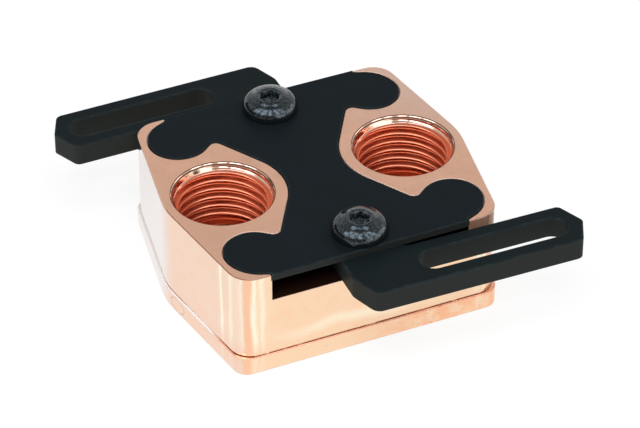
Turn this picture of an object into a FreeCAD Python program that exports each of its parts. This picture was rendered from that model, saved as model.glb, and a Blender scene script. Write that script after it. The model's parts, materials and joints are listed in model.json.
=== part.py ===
import FreeCAD, Part
import os
from math import atan2, cos, pi, radians, sin, sqrt, tan

# Liquid cooling cold plate: a copper water block with two ports, a let-in top plate and two swivelling arms.
# Millimetres. Origin at the centre of the cold face, +Z up, +X along the front edge, -Y towards the front.

# ---- overall sizes of the copper stack
base_thickness = 2.6          # plate that touches the chip
seam_thickness = 0.15         # brazed joint between base and block
block_height = 12.35          # block alone, without base and joint
block_half_depth = 18.0       # centre to front face
block_half_length = 20.90     # centre to the blunt point in the middle of each side
side_slope = 0.1645           # how much each side falls back per millimetre from its blunt point
block_corner_r = 3.1
side_point_r = 12.0           # rounding of the blunt point
base_proud = 0.2              # base stands out this much past the block
base_corner_r = 2.0
seam_inset = 0.15             # joint lies this far inside the block's sides
outer_edge_break = 0.12       # small chamfer along outer edges

# ---- ports
port_half_spacing = 12.75
port_thread_major_r = 6.579   # G1/4 parallel thread
port_mouth_r = 6.83
port_mouth_depth = 0.3

# ---- chamber under the ports and fins on the base
chamber_height = 2.25         # above the top of the joint
chamber_half_width = 6.9
fin_count = 13
fin_pitch = 0.95
fin_thickness = 0.45
fin_height = 2.0
fin_length = 11.0

# ---- top plate and its pocket
plate_thickness = 1.0
plate_proud = 0.1             # plate's top stands this much above the copper
plate_gap = 0.12              # clearance all round between plate and pocket
plate_edge_break = 0.1
pocket_edge_break = 0.12      # small chamfer along the pocket's rim
plate_half_front = 13.6       # half width of the straight front edge
neck_r = 8.5                  # plate's edge round each port
neck_angle = 31.0             # where that edge turns into a straight
ear_x = 13.75                 # centre of each ear
ear_y = 12.75
ear_r = 3.95
ear_start = 231.0             # angle on the ear where its edge begins
horn_r = 1.1                  # rounding of the copper horn between ear and port

# ---- arms
arm_thickness = 3.1
arm_gap_to_block = 0.22       # between the block's face and the arm's long edge
arm_width = 7.52
arm_tip_x = 27.7              # blunt point at the free end
arm_shoulder_x = 26.0         # where the end starts to narrow
arm_hub_r = 4.0
arm_heel_y = 21.8             # heel: start of the sloping inner end
arm_heel_x = 2.5              # heel: end of the slope, on the long edge
arm_edge_break = 0.13
arm_inner_r = 1.4             # rounding between hub and bar
slot_width = 3.7
slot_from_x = 5.05
slot_to_x = 25.4
front_arm_angle = -1.2        # each arm as it was left, turned about its screw
back_arm_angle = 0.4

# ---- notches for the arms
notch_half_width = 13.6
notch_back_gap = 0.5          # behind the arm's round hub
notch_corner_r = 3.0

# ---- screws, M4 button head
screw_y = 14.37
screw_shank_r = 2.0
screw_length = 8.0
screw_head_r = 3.7
screw_head_height = 2.2
screw_head_flat_r = 1.86      # flat top inside the quarter-round dome
socket_across_flats = 2.5
socket_depth = 1.3
socket_flare_r = 1.66         # round lead-in at the top of the socket
arm_pivot_gap = 0.07          # running fit of the arm on the screw
plate_hole_gap = 0.15
tapped_hole_gap = 0.03
tapped_hole_extra = 1.0       # hole goes on this far past the screw's end

# ---- heights worked out from the sizes above
seam_bottom = base_thickness
block_bottom = seam_bottom + seam_thickness
block_top = block_bottom + block_height
plate_bottom = block_top + plate_proud - plate_thickness
plate_top = plate_bottom + plate_thickness
notch_floor = plate_bottom - arm_thickness
chamber_top = block_bottom + chamber_height
arm_back_y = block_half_depth + arm_gap_to_block
arm_front_y = arm_back_y + arm_width
arm_mid_y = arm_back_y + arm_width / 2
slot_mid_y = arm_mid_y


def vec(x, y, z=0.0):
    return FreeCAD.Vector(x, y, z)


def corner_arc(before, corner, after, radius):
    """Start, middle and end of the arc that rounds one corner of an outline."""
    to_before = (before - corner).normalize()
    to_after = (after - corner).normalize()
    half = to_before.getAngle(to_after) / 2
    reach = radius / tan(half)
    bisector = (to_before + to_after).normalize()
    middle = corner + bisector * (radius / sin(half) - radius)
    return corner + to_before * reach, middle, corner + to_after * reach


def rounded_chain(corners):
    """Lines and arcs from the first (x, y, radius) corner to the last, rounding those between."""
    points = [vec(x, y) for x, y, r in corners]
    edges = []
    last = points[0]
    for i in range(1, len(points) - 1):
        start, middle, end = corner_arc(points[i - 1], points[i], points[i + 1], corners[i][2])
        edges.append(Part.makeLine(last, start))
        edges.append(Part.Arc(start, middle, end).toShape())
        last = end
    edges.append(Part.makeLine(last, points[-1]))
    return edges


def rounded_face(corners):
    """Flat face whose outline runs through (x, y, radius) corners."""
    x = (corners[-1][0] + corners[0][0]) / 2
    y = (corners[-1][1] + corners[0][1]) / 2
    return Part.Face(Part.Wire(rounded_chain([(x, y, 0)] + corners + [(x, y, 0)])))


def prism(face, bottom, top):
    solid = face.extrude(vec(0, 0, top - bottom))
    solid.translate(vec(0, 0, bottom))
    return solid


def flat_edges(shape, z):
    """Edges that lie in the horizontal plane at height z."""
    found = []
    for edge in shape.Edges:
        box = edge.BoundBox
        if abs(box.ZMin - z) < 1e-4 and abs(box.ZMax - z) < 1e-4:
            found.append(edge)
    return found


def stack_face(extra, corner_r):
    """Outline shared by block, joint and base: a rectangle whose two sides come to a blunt point."""
    depth = block_half_depth + extra
    point_x = block_half_length + extra
    corner_x = point_x - side_slope * depth
    quarter = [(point_x, 0.0, side_point_r), (corner_x, depth, corner_r)]
    half = quarter + [(-corner_x, depth, corner_r), (-point_x, 0.0, side_point_r)]
    return rounded_face(half + [(-corner_x, -depth, corner_r), (corner_x, -depth, corner_r)])


def plate_face():
    """Spider outline: straight front and back, a round ear at each corner, waisted round the ports."""
    turn = radians(neck_angle)
    port = vec(port_half_spacing, 0)
    waist = port + vec(-neck_r, 0)
    waist_mid = port + vec(-neck_r * cos(turn / 2), neck_r * sin(turn / 2))
    leave = port + vec(-neck_r * cos(turn), neck_r * sin(turn))
    leave_way = vec(sin(turn), cos(turn))
    ear = vec(ear_x, ear_y)
    begin = radians(ear_start)
    ear_begin = ear + vec(ear_r * cos(begin), ear_r * sin(begin))
    ear_way = vec(-sin(begin), cos(begin))
    gap = ear_begin - leave
    along = (gap.x * ear_way.y - gap.y * ear_way.x) / (leave_way.x * ear_way.y - leave_way.y * ear_way.x)
    horn = leave + leave_way * along
    horn_start, horn_mid, horn_end = corner_arc(leave, horn, ear_begin, horn_r)
    low = radians(293)
    side = radians(355)
    ear_low = ear + vec(ear_r * cos(low), ear_r * sin(low))
    ear_side = ear + vec(ear_r * cos(side), ear_r * sin(side))
    ear_shoulder = vec(ear_x + 3.32, ear_y + 2.35)
    ear_tip = vec(ear_x + 0.55, ear_y + 4.55)
    notch_tip = vec(plate_half_front, ear_y + 4.87)
    front = vec(plate_half_front, block_half_depth)
    quarter = [
        Part.Arc(waist, waist_mid, leave).toShape(),
        Part.makeLine(leave, horn_start),
        Part.Arc(horn_start, horn_mid, horn_end).toShape(),
        Part.makeLine(horn_end, ear_begin),
        Part.Arc(ear_begin, ear_low, ear_side).toShape(),
        Part.Arc(ear_side, ear_shoulder, ear_tip).toShape(),
        Part.makeLine(ear_tip, notch_tip),
        Part.makeLine(notch_tip, front),
        Part.makeLine(front, vec(0, block_half_depth)),
    ]
    right = quarter + [edge.mirror(vec(0, 0), vec(0, 1, 0)) for edge in quarter]
    every = right + [edge.mirror(vec(0, 0), vec(1, 0, 0)) for edge in right]
    return Part.Face(Part.Wire(Part.__sortEdges__(every)))


def arm_face():
    """Bar with a pointed free end and a round hub, for the front arm, square to the block."""
    edges = rounded_chain([
        (-arm_hub_r, -screw_y, 0),
        (-arm_hub_r, -arm_heel_y, 2.0),
        (-arm_heel_x, -arm_front_y, 1.5),
        (arm_shoulder_x, -arm_front_y, 1.0),
        (arm_tip_x, -arm_mid_y, 0.8),
        (arm_shoulder_x, -arm_back_y, 1.0),
        (arm_hub_r, -arm_back_y, arm_inner_r),
        (arm_hub_r, -screw_y, 0),
    ])
    hub_top = vec(0, arm_hub_r - screw_y)
    hub = Part.Arc(vec(arm_hub_r, -screw_y), hub_top, vec(-arm_hub_r, -screw_y)).toShape()
    return Part.Face(Part.Wire(edges + [hub]))


def slot_tool(bottom, top):
    r = slot_width / 2
    left = slot_from_x + r
    right = slot_to_x - r
    tool = Part.makeCylinder(r, top - bottom, vec(left, -slot_mid_y, bottom))
    tool = tool.fuse(Part.makeCylinder(r, top - bottom, vec(right, -slot_mid_y, bottom)))
    return tool.fuse(Part.makeBox(right - left, slot_width, top - bottom, vec(left, -slot_mid_y - r, bottom)))


def make_arm(turned, half_turn):
    bottom = notch_floor
    top = notch_floor + arm_thickness
    arm = prism(arm_face(), bottom, top)
    arm = arm.cut(slot_tool(bottom - 1, top + 1)).removeSplitter()
    arm = arm.makeChamfer(arm_edge_break, flat_edges(arm, top) + flat_edges(arm, bottom))
    hole_r = screw_shank_r + arm_pivot_gap
    arm = arm.cut(Part.makeCylinder(hole_r, arm_thickness + 2, vec(0, -screw_y, bottom - 1)))
    arm.rotate(vec(0, -screw_y), vec(0, 0, 1), turned)
    arm.rotate(vec(0, 0), vec(0, 0, 1), half_turn)
    return arm


def make_screw(y):
    r = screw_head_r
    dome_r = r - screw_head_flat_r
    rim = vec(r, 0, screw_head_height - dome_r)
    dome = vec(screw_head_flat_r + dome_r * cos(pi / 4), 0, rim.z + dome_r * sin(pi / 4))
    crown = vec(screw_head_flat_r, 0, screw_head_height)
    top = vec(0, 0, screw_head_height)
    profile = [
        Part.makeLine(vec(0, 0), vec(r, 0)),
        Part.makeLine(vec(r, 0), rim),
        Part.Arc(rim, dome, crown).toShape(),
        Part.makeLine(crown, top),
        Part.makeLine(top, vec(0, 0)),
    ]
    head = Part.Face(Part.Wire(profile)).revolve(vec(0, 0), vec(0, 0, 1), 360)
    shank = Part.makeCylinder(screw_shank_r, screw_length, vec(0, 0, -screw_length))
    end = flat_edges(shank, -screw_length)
    shank = shank.makeChamfer(0.4, end)
    corner_r = socket_across_flats / sqrt(3)
    ring = [vec(corner_r * cos(pi * k / 3), corner_r * sin(pi * k / 3)) for k in range(7)]
    socket = prism(Part.Face(Part.makePolygon(ring)), screw_head_height - socket_depth, screw_head_height + 1)
    cone_r = socket_across_flats / 2
    cone = Part.makeCone(0, cone_r, 0.5, vec(0, 0, screw_head_height - socket_depth - 0.5))
    flare_depth = (socket_flare_r - cone_r) / 2
    flare_at = vec(0, 0, screw_head_height - flare_depth)
    flare = Part.makeCone(cone_r, socket_flare_r, flare_depth, flare_at)
    screw = head.fuse(shank).cut(socket).cut(cone).cut(flare).removeSplitter()
    screw.translate(vec(0, y, plate_top))
    return screw


def make_base():
    base = prism(stack_face(base_proud, base_corner_r), 0.0, base_thickness)
    base = base.makeChamfer(outer_edge_break, flat_edges(base, 0.0) + flat_edges(base, base_thickness))
    first = -fin_pitch * (fin_count - 1) / 2
    fins = []
    for k in range(fin_count):
        y = first + k * fin_pitch - fin_thickness / 2
        at = vec(-fin_length / 2, y, base_thickness - 0.1)
        fins.append(Part.makeBox(fin_length, fin_thickness, fin_height + 0.1, at))
    return base.multiFuse(fins).removeSplitter()


def chamber_face():
    """Long hole round both ports."""
    reach = port_half_spacing + chamber_half_width
    r = chamber_half_width - 0.01
    w = chamber_half_width
    return rounded_face([(reach, w, r), (-reach, w, r), (-reach, -w, r), (reach, -w, r)])


def make_seam():
    ring = stack_face(-seam_inset, block_corner_r).cut(chamber_face())
    return prism(ring, seam_bottom, block_bottom)


def notch_tool(sign):
    back = sign * (screw_y - arm_hub_r - notch_back_gap)
    front = sign * (block_half_depth + 2)
    w = notch_half_width
    r = notch_corner_r
    face = rounded_face([(w, back, r), (w, front, 0.5), (-w, front, 0.5), (-w, back, r)])
    return prism(face, notch_floor, plate_bottom + 0.5)


def make_block():
    block = prism(stack_face(0.0, block_corner_r), block_bottom, block_top)
    block = block.makeChamfer(outer_edge_break, flat_edges(block, block_top))
    pocket = prism(plate_face().makeOffset2D(plate_gap), plate_bottom, block_top + 1)
    rim_bottom = block_top - pocket_edge_break
    rim = prism(plate_face().makeOffset2D(plate_gap + pocket_edge_break), rim_bottom, block_top + 1)
    rim = rim.makeChamfer(pocket_edge_break, flat_edges(rim, rim_bottom))
    block = block.cut(pocket).cut(rim)
    for sign in (-1, 1):
        block = block.cut(notch_tool(sign))
        depth = plate_thickness + arm_thickness
        hole_bottom = plate_top - screw_length - tapped_hole_extra
        hole_r = screw_shank_r + tapped_hole_gap
        block = block.cut(Part.makeCylinder(hole_r, depth + screw_length, vec(0, sign * screw_y, hole_bottom)))
    block = block.cut(prism(chamber_face(), block_bottom - 1, chamber_top))
    for sign in (-1, 1):
        x = sign * port_half_spacing
        block = block.cut(Part.makeCylinder(port_thread_major_r, block_height + 2, vec(x, 0, block_bottom)))
        at = vec(x, 0, block_top - port_mouth_depth)
        mouth = Part.makeCone(port_thread_major_r, port_mouth_r, port_mouth_depth, at)
        block = block.cut(mouth)
    return block.removeSplitter()


def make_plate():
    plate = prism(plate_face(), plate_bottom, plate_top)
    plate = plate.makeChamfer(plate_edge_break, flat_edges(plate, plate_top))
    hole_r = screw_shank_r + plate_hole_gap
    for sign in (-1, 1):
        plate = plate.cut(Part.makeCylinder(hole_r, 4, vec(0, sign * screw_y, plate_bottom - 1)))
    return plate


def main():
    os.makedirs("parts", exist_ok=True)
    parts = {
        "body_block": make_block(),
        "base_plate": make_base(),
        "braze_seam": make_seam(),
        "top_plate": make_plate(),
        "front_arm": make_arm(front_arm_angle, 0),
        "back_arm": make_arm(back_arm_angle, 180),
        "front_screw": make_screw(-screw_y),
        "back_screw": make_screw(screw_y),
    }
    for name, shape in parts.items():
        solid = shape.Solids[0] if len(shape.Solids) == 1 else shape
        solid.exportStep("parts/" + name + ".step")
        box = solid.BoundBox
        print(name, "solids", len(shape.Solids), "valid", shape.isValid(), "volume", round(solid.Volume, 1),
              "x", round(box.XMin, 2), round(box.XMax, 2), "y", round(box.YMin, 2), round(box.YMax, 2),
              "z", round(box.ZMin, 2), round(box.ZMax, 2))


main()
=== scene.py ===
import json
from math import degrees

import bpy
import numpy as np
from bpy.props import FloatProperty, FloatVectorProperty, IntProperty, PointerProperty
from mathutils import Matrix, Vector


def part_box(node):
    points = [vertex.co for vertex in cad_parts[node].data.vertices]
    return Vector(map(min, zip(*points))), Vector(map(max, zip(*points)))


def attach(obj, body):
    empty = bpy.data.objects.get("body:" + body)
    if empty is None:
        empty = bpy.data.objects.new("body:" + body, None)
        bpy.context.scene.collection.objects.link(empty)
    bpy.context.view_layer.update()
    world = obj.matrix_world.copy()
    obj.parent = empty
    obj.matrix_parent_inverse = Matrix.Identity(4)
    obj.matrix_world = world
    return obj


bl_info = {
    "name": "Liquid cooling cold plate",
    "version": (1, 0, 0),
    "blender": (4, 5, 0),
    "location": "3D View > Sidebar > Cold plate",
    "description": "Finishes a copper cold plate with threaded ports and black steel arms",
    "category": "Object",
}

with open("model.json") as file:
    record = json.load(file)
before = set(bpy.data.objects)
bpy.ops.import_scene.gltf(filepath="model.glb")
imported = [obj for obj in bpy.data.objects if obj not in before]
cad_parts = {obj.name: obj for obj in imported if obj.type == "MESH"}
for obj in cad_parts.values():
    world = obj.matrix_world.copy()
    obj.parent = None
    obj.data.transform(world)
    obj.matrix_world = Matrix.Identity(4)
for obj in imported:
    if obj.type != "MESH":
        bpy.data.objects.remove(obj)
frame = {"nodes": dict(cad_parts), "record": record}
NODES = frame["nodes"]
MM = 0.001
BLOCK_LOW, BLOCK_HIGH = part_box("body_block")
SEAM_LOW, SEAM_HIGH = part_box("braze_seam")
PORTS = {mount["name"]: mount for mount in frame["record"]["mounts"] if mount["kind"] == "threaded_hole"}
PORT_X = PORTS["port_right"]["pos_m"][0]

# Sizes of the copper in millimetres: half the length to its blunt points, how much each side falls back per
# millimetre from there, the rounding of points and corners, and half the width of the arms' notches. The
# chamber in the block's underside reaches up to the ports.
POINT_X = 20.90
SIDE_SLOPE = 0.1645
POINT_R = 12.0
CORNER_R = 3.1
NOTCH_HALF_WIDTH = 13.6
CHAMBER_HEIGHT = 2.25

# What the camera looks at, in millimetres, and the way from there to the camera.
CAMERA_AIM = (0.732, -0.346, 7.72)
CAMERA_AWAY = (-0.3200, -0.7228, 0.6125)


def length(name, description, default):
    """A length in metres that a user can change in the sidebar."""
    return FloatProperty(
        name=name, description=description, default=default, min=0.0, precision=5, unit="LENGTH"
    )


def share(name, description, default, most=1.0):
    """A plain number from nought to most."""
    return FloatProperty(
        name=name, description=description, default=default, min=0.0, max=most, subtype="FACTOR"
    )


def power(name, description, default):
    """A lamp's power in watts."""
    return FloatProperty(name=name, description=description, default=default, min=0.0, unit="POWER")


def steps(name, description, default, least, most):
    """How many steps a mesh is made with."""
    return IntProperty(name=name, description=description, default=default, min=least, max=most)


def colour(name, description, default):
    """A linear colour."""
    return FloatVectorProperty(
        name=name, description=description, default=default, size=3, min=0.0, max=1.0, subtype="COLOR"
    )


class ThreadSettings(bpy.types.PropertyGroup):
    """Sizes of the thread cut into both ports."""

    pitch: length("Pitch", "Height of one turn of the thread", 1.337 * MM)
    crest: length("Crest radius", "Radius at the thread's crests", 5.72 * MM)
    root: length("Root radius", "Radius at the thread's roots", 6.5 * MM)
    mouth: length("Mouth radius", "Radius of the port where it meets the top face", 6.815 * MM)
    lead_in: length("Lead-in radius", "Radius at the lower end of the lead-in cone", 6.27 * MM)
    lead_in_depth: length("Lead-in depth", "How far down the lead-in cone goes", 0.95 * MM)
    depth: length("Threaded depth", "How far down the thread goes before the smooth relief", 9.3 * MM)
    around: steps("Steps around", "Faces around the port", 144, 24, 240)
    down: steps("Steps down", "Faces down the port", 170, 40, 300)


class CopperSettings(bpy.types.PropertyGroup):
    """Colours and finish of the copper."""

    polished: colour("Polished copper", "Colour of the polished sides", (0.880, 0.605, 0.470))
    # The front copper is painted light: sides facing the front are made paler and warmer.
    front: colour("Front copper", "Colour of the front side", (0.950, 0.670, 0.455))
    # burnish_and_reflection: pale polishing streaks, and the painted reflections in the bands round the
    # corners.
    burnish_and_reflection: colour("Burnished copper", "Pale streaks left by polishing", (1.0, 0.93, 0.74))
    # heat_tint_and_reflection: orange heat-tint patches, and the orange of the painted reflection bands
    # round the corners.
    heat_tint_and_reflection: colour("Heated copper", "Orange patches between the streaks", (0.97, 0.53, 0.32))
    # pale_painted_light: painted pale reflection and light, as the greyish haze at the far left, the paler
    # back right of the top, and the pale ledge and bead.
    pale_painted_light: colour("Hazy copper", "Greyish haze on the far left side", (0.79, 0.745, 0.725))
    matte: colour("Matte copper", "Colour of the fine-milled top face", (0.92, 0.545, 0.385))
    deburred: colour("Deburred edge", "Colour of the fine chamfers", (0.52, 0.35, 0.28))
    # stain_and_painted_dark: brown of real stains and specks, and of painted dark reflections and painted
    # shade.
    stain_and_painted_dark: colour("Tarnish", "Colour of the brown marks", (0.22, 0.085, 0.045))
    thread: colour("Cut copper", "Colour of the cut thread", (0.76, 0.15, 0.065))
    # The crest colour is a painted highlight, on the thread crests and the base's top chamfers.
    crest: colour("Thread crest", "Colour of the thread's rubbed crests", (0.88, 0.36, 0.22))
    polished_roughness: share("Polished roughness", "Roughness of the polished sides", 0.10)
    matte_roughness: share("Matte roughness", "Roughness of the top face", 0.36)
    thread_roughness: share("Thread roughness", "Roughness of the cut thread", 0.34)
    # The filler colour is a stain along the front and painted shade at the left point.
    filler: colour("Braze filler", "Colour of the brazed joint", (0.30, 0.11, 0.06))


class BlackSettings(bpy.types.PropertyGroup):
    """Colours and finish of the black parts."""

    plate: colour("Top plate", "Colour of the top plate", (0.0050, 0.0080, 0.0098))
    arm: colour("Arms", "Colour of the arms", (0.0052, 0.0086, 0.0098))
    screw: colour("Screws", "Colour of the screws", (0.0030, 0.0050, 0.0062))
    # lit_side is painted light: upright sides of the black parts are made paler than their tops.
    lit_side: colour("Cut side", "Colour of the thinly coated cut sides", (0.020, 0.023, 0.0215))
    # wear_and_edge_highlight: scuffs, rubbing and dust, and the painted highlights along the edges.
    wear_and_edge_highlight: colour("Worn edge", "Colour where an edge is rubbed", (0.075, 0.092, 0.096))
    plate_roughness: share("Plate roughness", "Roughness of the top plate", 0.44)
    arm_roughness: share("Arm roughness", "Roughness of the arms", 0.48)
    screw_roughness: share("Screw roughness", "Roughness of the screws", 0.09)


class StageSettings(bpy.types.PropertyGroup):
    """Floor, lamps and camera."""

    floor: colour("Floor", "Colour of the floor", (0.93, 0.93, 0.93))
    floor_size: length("Floor size", "Width of the floor", 6.0)
    sky: share("Sky", "Brightness of the room's light", 0.45, 4.0)
    key_power: power("Key power", "Power of the main softbox", 1.9)
    fill_power: power("Fill power", "Power of the side softboxes", 0.8)
    lens: FloatProperty(name="Lens", description="Focal length in millimetres", default=187.19, min=1.0)
    distance: length("Distance", "From the camera to the point that it looks at", 0.4354)


class ColdPlateSettings(bpy.types.PropertyGroup):
    """Everything a user can change."""

    thread: PointerProperty(type=ThreadSettings)
    copper: PointerProperty(type=CopperSettings)
    black: PointerProperty(type=BlackSettings)
    stage: PointerProperty(type=StageSettings)


# ---- shapes

def grid_mesh(name, points, close_u, close_v):
    """Mesh through a grid of points, u by v by 3, whose faces turn outwards when u cross v points outwards.

    A closed direction joins its last row to its first.
    """
    nu, nv, _ = points.shape
    ids = np.arange(nu * nv).reshape(nu, nv)
    across = np.roll(ids, -1, axis=0)
    if not close_u:
        ids, across = ids[:-1], across[:-1]
    a, b = ids, across
    a2, b2 = np.roll(a, -1, axis=1), np.roll(b, -1, axis=1)
    quads = np.stack([a, b, b2, a2], axis=-1)
    if not close_v:
        quads = quads[:, :-1]
    mesh = bpy.data.meshes.new(name)
    mesh.from_pydata(points.reshape(-1, 3).tolist(), [], quads.reshape(-1, 4).tolist())
    mesh.polygons.foreach_set("use_smooth", np.ones(len(mesh.polygons), bool))
    mesh.update()
    return mesh


def add_piece(name, mesh, body, material):
    """Puts a finished mesh in the scene as a piece that rides on a body."""
    piece = bpy.data.objects.new(name, mesh)
    bpy.context.scene.collection.objects.link(piece)
    mesh.materials.append(material)
    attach(piece, body)
    return piece


def thread_wall(angle, z, top, s):
    """Radius of the port's inner wall at an angle and a height.

    One turn of the thread goes from root to crest and back as the angle goes round once or the height
    by one pitch; the wave is a cosine pushed towards a ridge with a narrow crest and a wide root, with a
    faint second ridge half-way. The thread fades into the smooth relief at the bottom, and the lead-in
    cone, flared at the mouth and steeper below, cuts its first turn.
    """
    turn = (z - top) / s.pitch - angle / (2 * np.pi)
    wave = 0.5 + 0.5 * np.cos(2 * np.pi * turn)
    ridge = wave ** 1.8 + 0.035 * (1 - wave) ** 9
    end = top - s.depth
    fade = np.clip((z - end) / (0.9 * s.pitch), 0.0, 1.0)
    fade = fade * fade * (3 - 2 * fade)
    radius = s.root - (s.root - s.crest) * ridge * fade
    down = top - z
    knee_down, knee_in = 0.32, 0.485
    share_in = np.interp(down / s.lead_in_depth, (0.0, knee_down, 1.0), (0.0, knee_in, 1.0))
    below = np.clip((down - s.lead_in_depth) / (0.10 * MM), 0.0, 1.0)
    cone = (s.mouth + (s.lead_in - s.mouth) * share_in) * (1 - below) + s.crest * below
    return np.maximum(radius, cone)


def port_thread_mesh(name, centre, s):
    """Threaded liner of one port: a profile carried round the port's axis.

    The first parameter goes down the inner wall, whose radius thread_wall gives, and back up the outer
    wall, which lies just inside the block's bore and its flared mouth; the second goes round.
    """
    top = BLOCK_HIGH.z - 0.004 * MM
    bottom = BLOCK_LOW.z + CHAMBER_HEIGHT * MM
    angle = np.linspace(0, 2 * np.pi, s.around, endpoint=False)
    lead = top - s.lead_in_depth * np.linspace(0.0, 1.0, 26)
    inner_z = np.concatenate([lead, np.linspace(lead[-1] - 0.05 * MM, bottom, s.down)])
    inner_r = thread_wall(angle[None, :], inner_z[:, None], top, s)
    bore, mouth = 6.573 * MM, 6.822 * MM
    outer_z = np.array([bottom, top - 0.32 * MM, top])
    outer_r = np.array([bore, bore, mouth])
    z = np.concatenate([inner_z, outer_z])
    r = np.concatenate([inner_r, np.repeat(outer_r[:, None], s.around, axis=1)])
    x = centre[0] + r * np.cos(angle)
    y = centre[1] + r * np.sin(angle)
    points = np.stack([x, y, np.broadcast_to(z[:, None], r.shape)], axis=-1)
    return grid_mesh(name, points, True, True)


def stack_outline(inset, corner_r, along):
    """Points along the copper stack's outline, set in by inset, from each corner's arc to the next.

    Each corner of the rectangle with bluntly pointed sides is rounded by an arc whose centre lies on the
    corner's bisector, and the points of all arcs are then spread evenly by length.
    """
    half_depth = BLOCK_HIGH.y - inset
    point_x = POINT_X * MM - inset
    corner_x = point_x - SIDE_SLOPE * half_depth
    corners = np.array([
        [point_x, 0.0], [corner_x, half_depth], [-corner_x, half_depth],
        [-point_x, 0.0], [-corner_x, -half_depth], [corner_x, -half_depth],
    ])
    radii = np.array([POINT_R * MM, corner_r, corner_r, POINT_R * MM, corner_r, corner_r])
    before = np.roll(corners, 1, axis=0) - corners
    after = np.roll(corners, -1, axis=0) - corners
    before /= np.linalg.norm(before, axis=1, keepdims=True)
    after /= np.linalg.norm(after, axis=1, keepdims=True)
    bisector = before + after
    bisector /= np.linalg.norm(bisector, axis=1, keepdims=True)
    half = np.arccos(np.sum(bisector * after, axis=1))
    centres = corners + bisector * (radii / np.sin(half))[:, None]
    sweep = np.linspace(-1, 1, 13)[None, :] * (np.pi / 2 - half)[:, None]
    out = np.arctan2(-bisector[:, 1], -bisector[:, 0])[:, None] + sweep
    arcs = centres[:, None, :] + radii[:, None, None] * np.stack([np.cos(out), np.sin(out)], axis=-1)
    path = arcs.reshape(-1, 2)
    path = np.vstack([path, path[:1]])
    walked = np.concatenate([[0.0], np.cumsum(np.linalg.norm(np.diff(path, axis=0), axis=1))])
    at = np.linspace(0, walked[-1], along, endpoint=False)
    return np.stack([np.interp(at, walked, path[:, 0]), np.interp(at, walked, path[:, 1])], axis=-1)


def braze_bead_mesh(name):
    """Uneven bead of filler squeezed out of the joint: a circle carried along the stack's outline.

    Its thickness swells and thins with a sum of sines of the distance walked, and it is fullest near
    the front left corner, where the most filler ran out.
    """
    along = 720
    path = stack_outline(0.07 * MM, CORNER_R * MM, along)
    ahead = np.roll(path, -1, axis=0) - np.roll(path, 1, axis=0)
    ahead /= np.linalg.norm(ahead, axis=1, keepdims=True)
    out = np.stack([ahead[:, 1], -ahead[:, 0]], axis=-1)
    s = np.linspace(0, 2 * np.pi, along, endpoint=False)
    swell = 0.5 + 0.2 * np.sin(23 * s + 1.0) + 0.18 * np.sin(57 * s + 4.0) + 0.12 * np.sin(131 * s)
    corner = np.array([BLOCK_LOW.x + 3.4 * MM, BLOCK_LOW.y + 1.0 * MM])
    near = np.exp(-np.sum((path - corner) ** 2, axis=1) / (3.0 * MM) ** 2)
    radius = (0.068 + 0.016 * swell + 0.070 * near * swell) * MM
    around = np.linspace(0, 2 * np.pi, 8, endpoint=False)
    side = radius[:, None] * np.cos(around)
    xy = path[:, None, :] + out[:, None, :] * side[..., None]
    z = (SEAM_LOW.z + SEAM_HIGH.z) / 2 + radius[:, None] * np.sin(around)
    return grid_mesh(name, np.concatenate([xy, z[..., None]], axis=-1), True, True)


# ---- node helpers

def wide(value):
    """A colour with its alpha, or a socket as it is."""
    return value if isinstance(value, bpy.types.NodeSocket) else (*value, 1.0)


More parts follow.
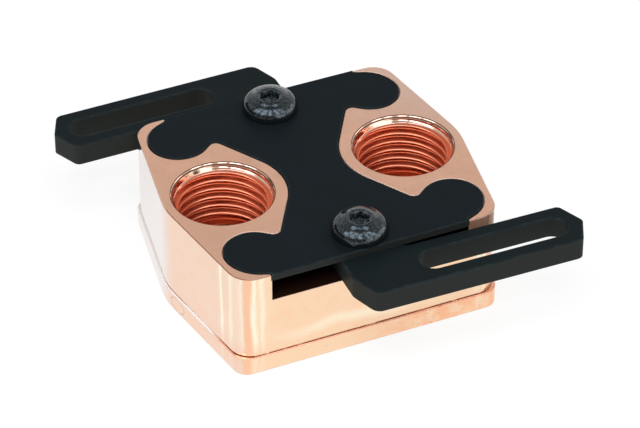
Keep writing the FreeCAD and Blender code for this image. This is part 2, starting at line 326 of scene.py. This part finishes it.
class Graph:
    """A node tree under construction: adds nodes and links them."""

    def __init__(self, tree):
        self.tree = tree

    def add(self, kind, inputs=(), **settings):
        """New node with its settings and its inputs, each a value or another node's socket."""
        node = self.tree.nodes.new(kind)
        for key, value in settings.items():
            setattr(node, key, value)
        for key, value in dict(inputs).items():
            if isinstance(value, bpy.types.NodeSocket):
                self.tree.links.new(value, node.inputs[key])
            else:
                node.inputs[key].default_value = value
        return node

    def stretch(self, vector, scale):
        return self.add("ShaderNodeMapping", {"Vector": vector, "Scale": scale}).outputs[0]

    def noise(self, vector, scale, detail=3.0, rough=0.55):
        inputs = {"Vector": vector, "Scale": scale, "Detail": detail, "Roughness": rough}
        return self.add("ShaderNodeTexNoise", inputs).outputs[0]

    def ramp(self, value, low, high, to_low=0.0, to_high=1.0, kind="LINEAR"):
        """From one value where the input is low to another where it is high, and no further."""
        inputs = {0: value, 1: low, 2: high, 3: to_low, 4: to_high}
        return self.add("ShaderNodeMapRange", inputs, interpolation_type=kind).outputs[0]

    def outside(self, share_in):
        """One less a share."""
        return self.ramp(share_in, 0.0, 1.0, 1.0, 0.0)

    def between(self, value, low, high, soft):
        """One between low and high, nought outside, with soft limits."""
        rise = self.ramp(value, low - soft, low + soft)
        return self.both(rise, self.ramp(value, high - soft, high + soft, 1.0, 0.0))

    def curve(self, value, points):
        """Smooth curve through (position, height) points."""
        low, high = points[0][0], points[-1][0]
        share_of = self.ramp(value, low, high)
        node = self.add("ShaderNodeValToRGB", {0: share_of})
        node.color_ramp.interpolation = "EASE"
        stops = node.color_ramp.elements
        for at, height in points[1:-1]:
            stops.new((at - low) / (high - low)).color = (height, height, height, 1.0)
        for stop, (_, height) in ((stops[0], points[0]), (stops[-1], points[-1])):
            stop.color = (height, height, height, 1.0)
        return node.outputs[0]

    def math(self, operation, a, b=0.0):
        return self.add("ShaderNodeMath", {0: a, 1: b}, operation=operation).outputs[0]

    def plus(self, a, b):
        return self.math("ADD", a, b)

    def both(self, a, b):
        return self.math("MULTIPLY", a, b)

    def most(self, a, b):
        return self.math("MAXIMUM", a, b)

    def size(self, a):
        return self.math("ABSOLUTE", a)

    def beyond(self, a, limit):
        """How far a is past a limit, or nought."""
        return self.most(self.plus(a, -limit), 0.0)

    def reach(self, a, b):
        """Distance to a point that lies a one way and b the other."""
        return self.math("SQRT", self.plus(self.math("POWER", a, 2.0), self.math("POWER", b, 2.0)))

    def blend(self, factor, a, b):
        """Colour a where the factor is nought and colour b where it is one."""
        inputs = {0: factor, 6: wide(a), 7: wide(b)}
        return self.add("ShaderNodeMix", inputs, data_type="RGBA").outputs[2]

    def parts(self, vector):
        return self.add("ShaderNodeSeparateXYZ", {0: vector}).outputs


class Finish(Graph):
    """A material under construction, with the piece's own normal and its coordinates in millimetres."""

    def __init__(self, name):
        self.material = bpy.data.materials.new(name)
        self.material.use_nodes = True
        super().__init__(self.material.node_tree)
        self.shader = self.tree.nodes["Principled BSDF"]
        where = self.add("ShaderNodeTexCoord")
        self.mm = self.stretch(where.outputs["Object"], (1 / MM, 1 / MM, 1 / MM))
        self.x, self.y, self.z = self.parts(self.mm)
        self.nx, self.ny, self.nz = self.parts(where.outputs["Normal"])

    def bump(self, height, distance, normal=None):
        inputs = {"Height": height, "Distance": distance, "Strength": 1.0}
        if normal is not None:
            inputs["Normal"] = normal
        return self.add("ShaderNodeBump", inputs).outputs[0]

    def soft_edge(self, radius):
        """Normal rounded over sharp edges, and how near an edge a point is."""
        rounded = self.add("ShaderNodeBevel", {"Radius": radius}, samples=6).outputs[0]
        flat = self.add("ShaderNodeNewGeometry").outputs["True Normal"]
        same = self.add("ShaderNodeVectorMath", {0: rounded, 1: flat}, operation="DOT_PRODUCT")
        return rounded, self.ramp(same.outputs["Value"], 0.998, 0.90)

    def set(self, **inputs):
        """Fills the shader's sockets, each with a value or another node's socket."""
        for key, value in inputs.items():
            socket = self.shader.inputs[key.replace("_", " ")]
            if isinstance(value, bpy.types.NodeSocket):
                self.tree.links.new(value, socket)
            else:
                socket.default_value = value
        return self.material


# ---- materials

# How pale the painted reflection bands are at each distance round a corner, in millimetres from the corner's
# middle.
REFLECTION_BANDS = (
    (-4.6, 0.10), (-4.0, 0.25), (-3.64, 1.0), (-3.2, 0.15), (-2.4, 0.20), (-1.84, 0.70), (-1.3, 0.25),
    (-0.6, 0.35), (-0.18, 0.60), (0.2, 0.0), (0.9, 0.0), (1.35, 0.95), (1.7, 0.20), (2.05, 0.70),
    (2.5, 0.10), (4.0, 0.0),
)


def scaled(tint, times):
    """A colour with its brightness multiplied."""
    return [times * channel for channel in tint]


def polished_sides(m, copper, patches):
    """Colour of the polished sides: painted pale and orange reflection bands round the corners, and a
    painted greyish reflection at the far left.
    """
    cloud = m.noise(m.mm, 0.22, 4.0, 0.6)
    upright = m.ramp(m.size(m.nz), 0.30, 0.10)
    from_corner = m.both(m.math("SUBTRACT", m.size(m.y), m.size(m.x)), 0.5 ** 0.5)
    wobble = m.ramp(m.noise(m.stretch(m.mm, (0.5, 0.5, 0.16)), 1.0, 2.0), 0.3, 0.7, -0.22, 0.22)
    # Painted reflection: pale bands round each corner.
    reflection_band = m.curve(m.plus(from_corner, wobble), REFLECTION_BANDS)
    reflection_band = m.both(reflection_band, m.ramp(m.z, 3.0, 5.5, 0.25, 1.0))
    # Painted reflection: orange bands between the pale ones round each corner.
    orange = m.both(m.between(from_corner, 0.15, 1.05, 0.2), 0.7)
    # Painted reflection: greyish haze on the sides facing left, towards the back.
    haze = m.both(m.ramp(m.y, -2.0, 2.5), m.ramp(m.nx, -0.80, -0.95))

    side = m.blend(m.ramp(cloud, 0.35, 0.70, 0.0, 0.08), copper.polished, copper.burnish_and_reflection)
    # Painted light: sides facing the front take the paler front copper.
    side = m.blend(m.ramp(m.ny, -0.80, -0.98), side, copper.front)
    side = m.blend(patches, side, copper.heat_tint_and_reflection)
    side = m.blend(m.both(orange, upright), side, copper.heat_tint_and_reflection)
    side = m.blend(m.both(reflection_band, upright), side, copper.burnish_and_reflection)
    return m.blend(m.both(haze, 0.85), side, copper.pale_painted_light)


def milled_face(m, copper, grain):
    """Colour of the fine-milled top: cloudy, with painted shade to the front left and painted light to the
    back right.
    """
    cloud = m.noise(m.mm, 0.30, 5.0, 0.65)
    back_right = m.plus(m.x, m.y)
    flat = m.blend(m.ramp(cloud, 0.35, 0.68), copper.matte, scaled(copper.matte, 0.87))
    # Painted shade to the front left, painted light to the back right.
    flat = m.blend(m.ramp(back_right, -24.0, -4.0, 0.6, 0.0), flat, scaled(copper.matte, 0.87))
    flat = m.blend(m.ramp(back_right, 14.0, 28.0, 0.0, 0.35), flat, copper.pale_painted_light)
    return m.blend(m.ramp(grain, 0.30, 0.70, 0.0, 0.5), flat, scaled(copper.matte, 0.88))


def chamfer_at(m, top, depth):
    """Where the surface slopes as a chamfer does, within a depth of a top face."""
    return m.both(m.between(m.nz, 0.35, 0.94, 0.05), m.ramp(m.z, top - depth, top - depth + 0.15))


def specks(m):
    """Fine brown specks, more of them towards the right."""
    speck = m.ramp(m.noise(m.mm, 2.6, 2.0, 0.7), 0.65, 0.73)
    return m.both(speck, m.ramp(m.x, 0.0, 12.0, 0.3, 1.0))


def front_streak(m):
    """Pale streak low on the block's front that wanders up and down."""
    drift = m.ramp(m.noise(m.stretch(m.mm, (0.12, 0.12, 0.0)), 1.0, 2.0), 0.3, 0.7, -0.5, 0.5)
    low = m.between(m.plus(m.z, drift), 4.2, 5.3, 0.7)
    return m.both(low, m.both(m.ramp(m.ny, -0.9, -0.99), m.between(m.x, -11.0, 9.0, 4.0)))


def rim_stain(m, top):
    """Brown line along the block's outer top edge, at the left and in front."""
    half_depth = BLOCK_HIGH.y / MM
    centre_y = half_depth - CORNER_R
    centre_x = POINT_X - SIDE_SLOPE * centre_y - CORNER_R * np.hypot(1.0, SIDE_SLOPE)
    past_corner = m.reach(m.beyond(m.size(m.x), centre_x), m.beyond(m.size(m.y), centre_y))
    outer = m.ramp(past_corner, CORNER_R - 0.18, CORNER_R - 0.12)
    facing = m.most(m.ramp(m.nx, -0.20, -0.40), m.ramp(m.ny, -0.20, -0.40, 0.0, 0.7))
    facing = m.both(facing, m.ramp(m.ny, 0.05, -0.05))
    return m.both(m.both(chamfer_at(m, top, 0.30), facing), outer)


def post_dark_reflection(m, top):
    """Painted dark reflection, brown, on the front face right of the notch."""
    post = m.both(m.between(m.x, 13.5, 17.8, 0.2), m.between(m.z, top - 4.6, top - 0.2, 0.1))
    return m.both(post, m.ramp(m.y, -15.0, -16.2, 0.0, 0.85))


def notch_inside(m):
    """Where the walls inside the arms' notches are; they get painted shade."""
    arm_low, arm_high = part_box("front_arm")
    half_depth = BLOCK_HIGH.y / MM
    inside = m.between(m.z, arm_low.z / MM - 0.1, arm_high.z / MM + 0.1, 0.02)
    inside = m.both(inside, m.ramp(m.size(m.y), half_depth - 0.03, half_depth - 0.10))
    return m.both(inside, m.ramp(m.size(m.x), NOTCH_HALF_WIDTH + 0.10, NOTCH_HALF_WIDTH + 0.05))


def oval_reflection(m):
    """Thin oval line of painted reflection on the left side of the base."""
    oval = m.reach(m.both(m.plus(m.y, 3.0), 0.62), m.both(m.plus(m.z, -1.3), 1.05))
    return m.both(m.between(oval, 0.95, 1.05, 0.05), m.ramp(m.nx, -0.8, -0.95))


def painted_pale_ledge(m, top):
    """Pale patch painted on the base's ledge at the sides and the back, as a painted pale reflection."""
    out = m.plus(m.size(m.x), m.both(m.size(m.y), SIDE_SLOPE))
    ledge = m.most(m.ramp(out, POINT_X - 1.5, POINT_X - 1.0), m.ramp(m.y, 16.8, 17.2))
    return m.both(m.both(m.ramp(m.y, -13.0, -11.0), ledge), m.ramp(m.z, top - 0.16, top - 0.10))


def copper_finish(m, copper, side, top_share, chamfer, chamfer_colour_and_highlight, marks, shade, pale_light_patch):
    """Joins polished sides, milled top and chamfers, and lays brown marks with painted dark reflections,
    painted deep shade and painted pale light over them.
    """
    grain = m.noise(m.mm, 9.0, 2.0, 0.6)
    top = m.ramp(m.nz, 0.80, 0.98, 0.0, top_share)
    rounded, edge = m.soft_edge(0.12 * MM)
    skin = m.blend(top, side, milled_face(m, copper, grain))
    skin = m.blend(m.both(edge, 0.6), skin, copper.deburred)
    skin = m.blend(m.both(chamfer, 0.8), skin, chamfer_colour_and_highlight)
    # Brown stains and specks, with painted dark reflections among the marks.
    skin = m.blend(marks, skin, copper.stain_and_painted_dark)
    # Painted shade, nearly black, on the walls inside the notches.
    skin = m.blend(shade, skin, scaled(copper.stain_and_painted_dark, 0.06))
    # Painted pale reflection.
    skin = m.blend(pale_light_patch, skin, copper.pale_painted_light)

    worked = m.most(edge, chamfer)
    metal = m.both(m.ramp(m.most(marks, shade), 0.2, 0.9, 1.0, 0.1), m.ramp(worked, 0.0, 1.0, 1.0, 0.35))
    metal = m.both(metal, m.ramp(pale_light_patch, 0.0, 1.0, 1.0, 0.15))
    rough = m.ramp(m.noise(m.mm, 0.8, 3.0), 0.3, 0.7, -0.03, 0.05)
    rough = m.plus(rough, m.ramp(top, 0.0, 1.0, copper.polished_roughness, copper.matte_roughness))
    rough = m.plus(rough, m.both(worked, 0.45))
    normal = m.bump(m.noise(m.mm, 0.35, 1.0, 0.4), 0.012 * MM, rounded)
    normal = m.bump(m.both(grain, m.ramp(top, 0.0, 1.0, 0.12, 1.0)), 0.003 * MM, normal)
    return m.set(Base_Color=skin, Metallic=metal, Roughness=rough, Specular_IOR_Level=0.2, Normal=normal)


def block_copper(name, copper):
    """Polished sides, a fine-milled top, brown stains at its edge, a painted dark reflection right of the
    notch and painted shade on the walls inside the notches.
    """
    m = Finish(name)
    top = BLOCK_HIGH.z / MM
    blotch = m.noise(m.mm, 0.55, 3.0, 0.55)
    side = polished_sides(m, copper, m.ramp(blotch, 0.5, 0.75, 0.0, 0.3))
    side = m.blend(m.both(front_streak(m), 0.7), side, copper.burnish_and_reflection)
    marks = m.most(m.both(specks(m), 0.35), m.both(rim_stain(m, top), 0.85))
    # Painted dark reflection on the front face right of the notch.
    marks = m.most(marks, post_dark_reflection(m, top))
    chamfer = chamfer_at(m, top, 0.40)
    return copper_finish(m, copper, side, 1.0, chamfer, copper.deburred, marks, notch_inside(m), 0.0)


def base_copper(name, copper):
    """Polished copper, orange and specked to the right, with a painted oval reflection, painted highlights
    on its chamfers and painted pale light on its ledge.
    """
    m = Finish(name)
    top = SEAM_LOW.z / MM
    blotch = m.noise(m.mm, 0.55, 3.0, 0.55)
    side = polished_sides(m, copper, m.both(m.ramp(m.x, -4.0, 8.0), m.ramp(blotch, 0.36, 0.56)))
    # Specks, and the oval line of painted reflection.
    marks = m.most(m.both(specks(m), 0.6), m.both(oval_reflection(m), 0.45))
    chamfer = chamfer_at(m, top, 0.40)
    # Painted highlight: the base's chamfers take the thread crests' colour.
    return copper_finish(m, copper, side, 0.6, chamfer, copper.crest, marks, 0.0, painted_pale_ledge(m, top))


def cut_copper(name, copper):
    """Freshly cut copper: fine tool rings, painted shade deeper down, painted highlights on the crests, a
    polished lead-in and a flare painted dark as a dark reflection.
    """
    m = Finish(name)
    top = BLOCK_HIGH.z / MM
    radius = m.reach(m.math("SUBTRACT", m.size(m.x), PORT_X / MM), m.y)
    ring = m.noise(m.stretch(m.mm, (0.25, 0.25, 5.0)), 1.0, 3.0, 0.6)
    cloud = m.noise(m.mm, 0.5, 3.0)
    lip = m.ramp(m.z, top - 1.05, top - 0.90)
    bright_line = m.between(m.z, top - 0.19, top - 0.12, 0.01)
    flare = m.both(m.ramp(m.z, top - 0.40, top - 0.36), m.outside(bright_line))

    skin = m.blend(m.ramp(cloud, 0.3, 0.7, 0.0, 0.35), copper.thread, scaled(copper.thread, 0.80))
    # Painted shade, darker deeper down the port.
    skin = m.blend(m.ramp(m.z, top - 4.0, top - 10.0, 0.0, 0.3), skin, scaled(copper.thread, 0.6))
    # Painted highlight along the thread crests.
    skin = m.blend(m.ramp(radius, 5.90, 5.76, 0.0, 0.8), skin, copper.crest)
    skin = m.blend(lip, skin, copper.polished)
    # Painted dark reflection over the flare of the mouth.
    skin = m.blend(m.both(flare, 0.95), skin, scaled(copper.stain_and_painted_dark, 0.45))
    rough = m.ramp(ring, 0.3, 0.7, copper.thread_roughness - 0.05, copper.thread_roughness + 0.10)
    rough = m.both(rough, m.ramp(lip, 0.0, 1.0, 1.0, 0.22))
    rough = m.plus(rough, m.both(flare, 0.35))
    normal = m.bump(ring, 0.006 * MM)
    metal = m.ramp(flare, 0.0, 1.0, 1.0, 0.03)
    return m.set(Base_Color=skin, Metallic=metal, Roughness=rough, Specular_IOR_Level=0.1, Normal=normal)


def braze_metal(name, copper):
    """Filler, painted pale at the sides and the back as a pale reflection, stained brown along the front,
    with painted shade at the left point.
    """
    m = Finish(name)
    stain = m.noise(m.mm, 1.2, 4.0, 0.65)
    front = m.both(m.ramp(m.y, -12.8, -14.2), m.ramp(stain, 0.32, 0.44))
    # Painted shade at the left point.
    point = m.both(m.ramp(m.x, -19.9, -20.3), m.between(m.y, -4.5, 0.5, 1.2))
    dark = m.most(front, point)
    # Painted pale reflection on the bead at the sides and the back.
    pale_light_patch = m.both(m.ramp(m.y, -13.0, -11.0), m.ramp(dark, 0.2, 0.0))
    skin = m.blend(m.ramp(stain, 0.45, 0.65, 0.0, 0.4), copper.polished, copper.heat_tint_and_reflection)
    skin = m.blend(dark, skin, copper.filler)
    skin = m.blend(pale_light_patch, skin, copper.pale_painted_light)
    rough = m.ramp(dark, 0.0, 1.0, 0.22, 0.5)
    metal = m.ramp(pale_light_patch, 0.0, 1.0, 1.0, 0.15)
    return m.set(Base_Color=skin, Metallic=metal, Roughness=rough, Normal=m.bump(stain, 0.01 * MM))


def satin_black(name, tint, black, roughness, edge_radius, sheen):
    """Satin black coating with a fine grain, painted light on the upright sides, faint scuffs, and painted
    highlights along the rubbed edges.
    """
    m = Finish(name)
    grain = m.noise(m.mm, 14.0, 2.0, 0.7)
    cloud = m.noise(m.mm, 0.16, 4.0, 0.6)
    scuff = m.ramp(m.noise(m.stretch(m.mm, (0.4, 2.4, 0.4)), 1.3, 4.0, 0.75), 0.68, 0.80)
    rounded, edge = m.soft_edge(edge_radius)
    edge_highlight = m.both(edge, m.ramp(m.noise(m.mm, 1.1, 3.0), 0.35, 0.65, 0.20, 0.80))
    # Painted light on the upright sides.
    cut = m.ramp(m.size(m.nz), 0.5, 0.2)
    skin = m.blend(m.ramp(cloud, 0.3, 0.7, 0.0, 0.4), tint, scaled(tint, 1.4))
    skin = m.blend(cut, skin, black.lit_side)
    skin = m.blend(m.both(scuff, 0.12), skin, black.wear_and_edge_highlight)
    # Painted highlight along the edges.
    skin = m.blend(edge_highlight, skin, black.wear_and_edge_highlight)
    rough = m.ramp(grain, 0.2, 0.8, roughness - 0.06, roughness + 0.06)
    normal = m.bump(grain, 0.0025 * MM, rounded)
    return m.set(Base_Color=skin, Roughness=rough, Specular_IOR_Level=sheen, Normal=normal)


def oxide_black(name, black):
    """Glossy black oxide over forged steel: pitted, with painted highlights on its rubbed edges and dust
    down in the socket.

    The flat crown is shaded as if it bulged a little round the socket.
    """
    m = Finish(name)
    low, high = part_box("front_screw")
    axis_y = (low.y + high.y) / 2 / MM
    radius = m.reach(m.x, m.plus(m.size(m.y), axis_y))
    pit = m.noise(m.mm, 2.8, 3.0, 0.6)
    rounded, edge = m.soft_edge(0.10 * MM)
    dust = m.both(m.ramp(radius, 1.6, 1.4), m.ramp(m.noise(m.mm, 2.4, 4.0, 0.7), 0.50, 0.62))
    skin = m.blend(m.ramp(pit, 0.35, 0.65, 0.0, 0.5), black.screw, scaled(black.screw, 1.5))
    # Painted highlight along the head's edges.
    skin = m.blend(m.both(edge, 0.4), skin, black.wear_and_edge_highlight)
    skin = m.blend(m.both(dust, 0.8), skin, black.wear_and_edge_highlight)
    rough = m.ramp(pit, 0.3, 0.7, black.screw_roughness - 0.04, black.screw_roughness + 0.05)
    crown = m.ramp(radius, 1.3, 2.7, 1.0, 0.0, "SMOOTHSTEP")
    normal = m.bump(pit, 0.016 * MM, m.bump(crown, 0.45 * MM, rounded))
    glint = m.ramp(m.noise(m.mm, 3.6, 2.0, 0.5), 0.38, 0.60, 0.30, 0.95)
    return m.set(
        Base_Color=skin, Roughness=rough, Specular_IOR_Level=glint, Specular_Tint=(0.80, 0.92, 1.0, 1.0),
        Normal=normal,
    )


def finish_node(name, material):
    """Gives a CAD node its material in every slot it has."""
    for slot in NODES[name].material_slots:
        slot.material = material


# ---- operators

class COLDPLATE_OT_copper_stack(bpy.types.Operator):
    """Finish the copper block and the base plate"""

    bl_idname = "coldplate.copper_stack"
    bl_label = "Finish copper stack"

    def execute(self, context):
        copper = context.scene.cold_plate.copper
        finish_node("body_block", block_copper("block_copper_finish", copper))
        finish_node("base_plate", base_copper("base_copper_finish", copper))
        return {"FINISHED"}


class COLDPLATE_OT_braze(bpy.types.Operator):
    """Finish the brazed joint and lay the bead squeezed out of it"""

    bl_idname = "coldplate.braze"
    bl_label = "Braze the joint"

    def execute(self, context):
        metal = braze_metal("braze_finish", context.scene.cold_plate.copper)
        finish_node("braze_seam", metal)
        add_piece("braze_bead", braze_bead_mesh("braze_bead"), "block", metal)
        return {"FINISHED"}


class COLDPLATE_OT_port_threads(bpy.types.Operator):
    """Cut the thread of both ports"""

    bl_idname = "coldplate.port_threads"
    bl_label = "Cut port threads"

    def execute(self, context):
        settings = context.scene.cold_plate
        metal = cut_copper("thread_finish", settings.copper)
        for port, mount in PORTS.items():
            name = port.replace("port", "port_thread")
            mesh = port_thread_mesh(name, mount["pos_m"], settings.thread)
            add_piece(name, mesh, "block", metal)
        return {"FINISHED"}


class COLDPLATE_OT_top_plate(bpy.types.Operator):
    """Finish the let-in top plate"""

    bl_idname = "coldplate.top_plate"
    bl_label = "Finish top plate"

    def execute(self, context):
        black = context.scene.cold_plate.black
        metal = satin_black("plate_finish", black.plate, black, black.plate_roughness, 0.10 * MM, 0.04)
        finish_node("top_plate", metal)
        return {"FINISHED"}


class COLDPLATE_OT_arms(bpy.types.Operator):
    """Finish both swivelling arms"""

    bl_idname = "coldplate.arms"
    bl_label = "Finish arms"

    def execute(self, context):
        black = context.scene.cold_plate.black
        metal = satin_black("arm_finish", black.arm, black, black.arm_roughness, 0.14 * MM, 0.05)
        finish_node("front_arm", metal)
        finish_node("back_arm", metal)
        return {"FINISHED"}


class COLDPLATE_OT_screws(bpy.types.Operator):
    """Finish both button-head screws"""

    bl_idname = "coldplate.screws"
    bl_label = "Finish screws"

    def execute(self, context):
        black = context.scene.cold_plate.black
        metal = oxide_black("screw_finish", black)
        finish_node("front_screw", metal)
        finish_node("back_screw", metal)
        return {"FINISHED"}


# Where the lit panes behind the camera begin and end, in degrees to the right of it.
PANES = ((-76.0, -50.0), (-43.0, -16.0), (-8.0, 12.0), (26.0, 44.0), (52.0, 72.0))


def softbox(name, place, target, size, watts):
    """Square area lamp turned towards a point; polished metal shows the room and not the lamp."""
    light = bpy.data.lights.new(name, "AREA")
    light.shape = "SQUARE"
    light.size = size
    light.energy = watts
    lamp = bpy.data.objects.new(name, light)
    lamp.location = place
    lamp.rotation_mode = "QUATERNION"
    lamp.rotation_quaternion = (Vector(target) - Vector(place)).to_track_quat("-Z", "Y")
    lamp.visible_glossy = False
    bpy.context.scene.collection.objects.link(lamp)
    return lamp


def floor_mesh(size):
    """Flat square: height nought over a grid from minus to plus half the size."""
    at = np.linspace(-size / 2, size / 2, 3)
    x, y = np.meshgrid(at, at, indexing="ij")
    return grid_mesh("floor", np.stack([x, y, np.full_like(x, -0.00002)], axis=-1), False, False)


def floor_paper(tint):
    """White paper: shows white itself to camera and mirror rays, and keeps part of the shadow."""
    material = bpy.data.materials.new("floor_paper")
    material.use_nodes = True
    g = Graph(material.node_tree)
    g.tree.nodes.clear()
    paper = g.add("ShaderNodeBsdfDiffuse", {"Color": (*tint, 1.0)})
    white = g.add("ShaderNodeEmission", {"Strength": 1.0})
    path = g.add("ShaderNodeLightPath").outputs
    seen = g.most(path["Is Camera Ray"], path["Is Glossy Ray"])
    mix = g.add("ShaderNodeMixShader", {0: g.both(seen, 0.84), 1: paper.outputs[0], 2: white.outputs[0]})
    g.add("ShaderNodeOutputMaterial", {"Surface": mix.outputs[0]})
    return material


def room_light(strength):
    """Room round the stage: pale walls, dimmer overhead, with what the polished parts mirror.

    That is a wide window low down at the front right, a dark gap at the left, and a row of lit panes
    high up on both sides of the camera.
    """
    world = bpy.data.worlds.new("room")
    bpy.context.scene.world = world
    world.use_nodes = True
    g = Graph(world.node_tree)
    g.tree.nodes.clear()
    x, y, z = g.parts(g.add("ShaderNodeTexCoord").outputs["Generated"])
    walls = g.curve(z, ((0.0, 0.85), (0.45, 0.80), (0.70, 0.72), (1.0, 0.42)))
    low = g.ramp(z, 0.42, 0.40)
    window = g.both(low, g.both(g.ramp(x, 0.00, 0.03), g.ramp(y, 0.10, 0.05)))
    shade = g.both(low, g.both(g.ramp(x, 0.0, -0.05), g.ramp(y, -0.15, -0.25)))
    gap = g.both(g.ramp(z, 0.34, 0.28), g.both(g.ramp(x, -0.45, -0.50), g.ramp(y, -0.15, -0.10)))
    mirror = g.blend(shade, walls, (0.42, 0.36, 0.33))
    mirror = g.blend(gap, mirror, (0.03, 0.02, 0.02))
    mirror = g.blend(window, mirror, (2.0, 2.0, 2.0))
    to_camera = Vector(CAMERA_AWAY).xy.normalized()
    right = g.plus(g.both(x, -to_camera.y), g.both(y, to_camera.x))
    near = g.plus(g.both(x, to_camera.x), g.both(y, to_camera.y))
    turn = g.both(g.math("ARCTAN2", right, near), degrees(1.0))
    panes = 0.0
    for left_edge, right_edge in PANES:
        panes = g.most(panes, g.between(turn, left_edge, right_edge, 2.0))
    panes = g.both(panes, g.between(z, 0.45, 0.95, 0.02))
    mirror = g.blend(panes, mirror, (3.4, 3.7, 4.0))
    path = g.add("ShaderNodeLightPath").outputs
    light = g.blend(path["Is Glossy Ray"], (strength, strength, strength), mirror)
    light = g.blend(path["Is Camera Ray"], light, (1.0, 1.0, 1.0))
    back = g.add("ShaderNodeBackground", {"Color": light})
    g.add("ShaderNodeOutputWorld", {"Surface": back.outputs[0]})


class COLDPLATE_OT_stage(bpy.types.Operator):
    """Set out the floor, the soft lamps and the camera"""

    bl_idname = "coldplate.stage"
    bl_label = "Set the stage"

    def execute(self, context):
        s = context.scene.cold_plate.stage
        floor = bpy.data.objects.new("floor", floor_mesh(s.floor_size))
        floor.data.materials.append(floor_paper(s.floor))
        context.scene.collection.objects.link(floor)
        middle = (0.0, 0.0, 0.008)
        softbox("key_softbox", (-0.10, -0.23, 0.45), middle, 0.28, s.key_power)
        softbox("left_softbox", (-0.55, 0.05, 0.30), middle, 0.25, s.fill_power)
        softbox("right_softbox", (0.45, -0.10, 0.38), middle, 0.25, s.fill_power)
        room_light(s.sky)
        lens = bpy.data.cameras.new("camera")
        lens.lens = s.lens
        lens.sensor_width = 36.0
        lens.clip_start, lens.clip_end = 0.01, 20.0
        camera = bpy.data.objects.new("camera", lens)
        away = Vector(CAMERA_AWAY).normalized()
        camera.location = Vector(CAMERA_AIM) * MM + away * s.distance
        camera.rotation_mode = "QUATERNION"
        camera.rotation_quaternion = (-away).to_track_quat("-Z", "Y")
        context.scene.collection.objects.link(camera)
        context.scene.camera = camera
        context.scene.view_settings.view_transform = "Standard"
        return {"FINISHED"}


class COLDPLATE_PT_sidebar(bpy.types.Panel):
    """Lists the steps that finish the cold plate"""

    bl_label = "Cold plate"
    bl_space_type = "VIEW_3D"
    bl_region_type = "UI"
    bl_category = "Cold plate"

    def draw(self, context):
        for step in STEPS:
            self.layout.operator(step.bl_idname)
        settings = context.scene.cold_plate
        for group in (settings.thread, settings.copper, settings.black, settings.stage):
            box = self.layout.box()
            for name in group.__annotations__:
                box.prop(group, name)


SETTINGS = (ThreadSettings, CopperSettings, BlackSettings, StageSettings, ColdPlateSettings)
STEPS = (
    COLDPLATE_OT_copper_stack,
    COLDPLATE_OT_braze,
    COLDPLATE_OT_port_threads,
    COLDPLATE_OT_top_plate,
    COLDPLATE_OT_arms,
    COLDPLATE_OT_screws,
    COLDPLATE_OT_stage,
)


def register():
    for part in SETTINGS + STEPS + (COLDPLATE_PT_sidebar,):
        bpy.utils.register_class(part)
    bpy.types.Scene.cold_plate = PointerProperty(type=ColdPlateSettings)


def unregister():
    del bpy.types.Scene.cold_plate
    for part in reversed(SETTINGS + STEPS + (COLDPLATE_PT_sidebar,)):
        bpy.utils.unregister_class(part)


def main():
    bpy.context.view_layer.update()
    register()
    bpy.ops.coldplate.copper_stack()
    bpy.ops.coldplate.braze()
    bpy.ops.coldplate.port_threads()
    bpy.ops.coldplate.top_plate()
    bpy.ops.coldplate.arms()
    bpy.ops.coldplate.screws()
    bpy.ops.coldplate.stage()


if __name__ == "__main__":
    main()
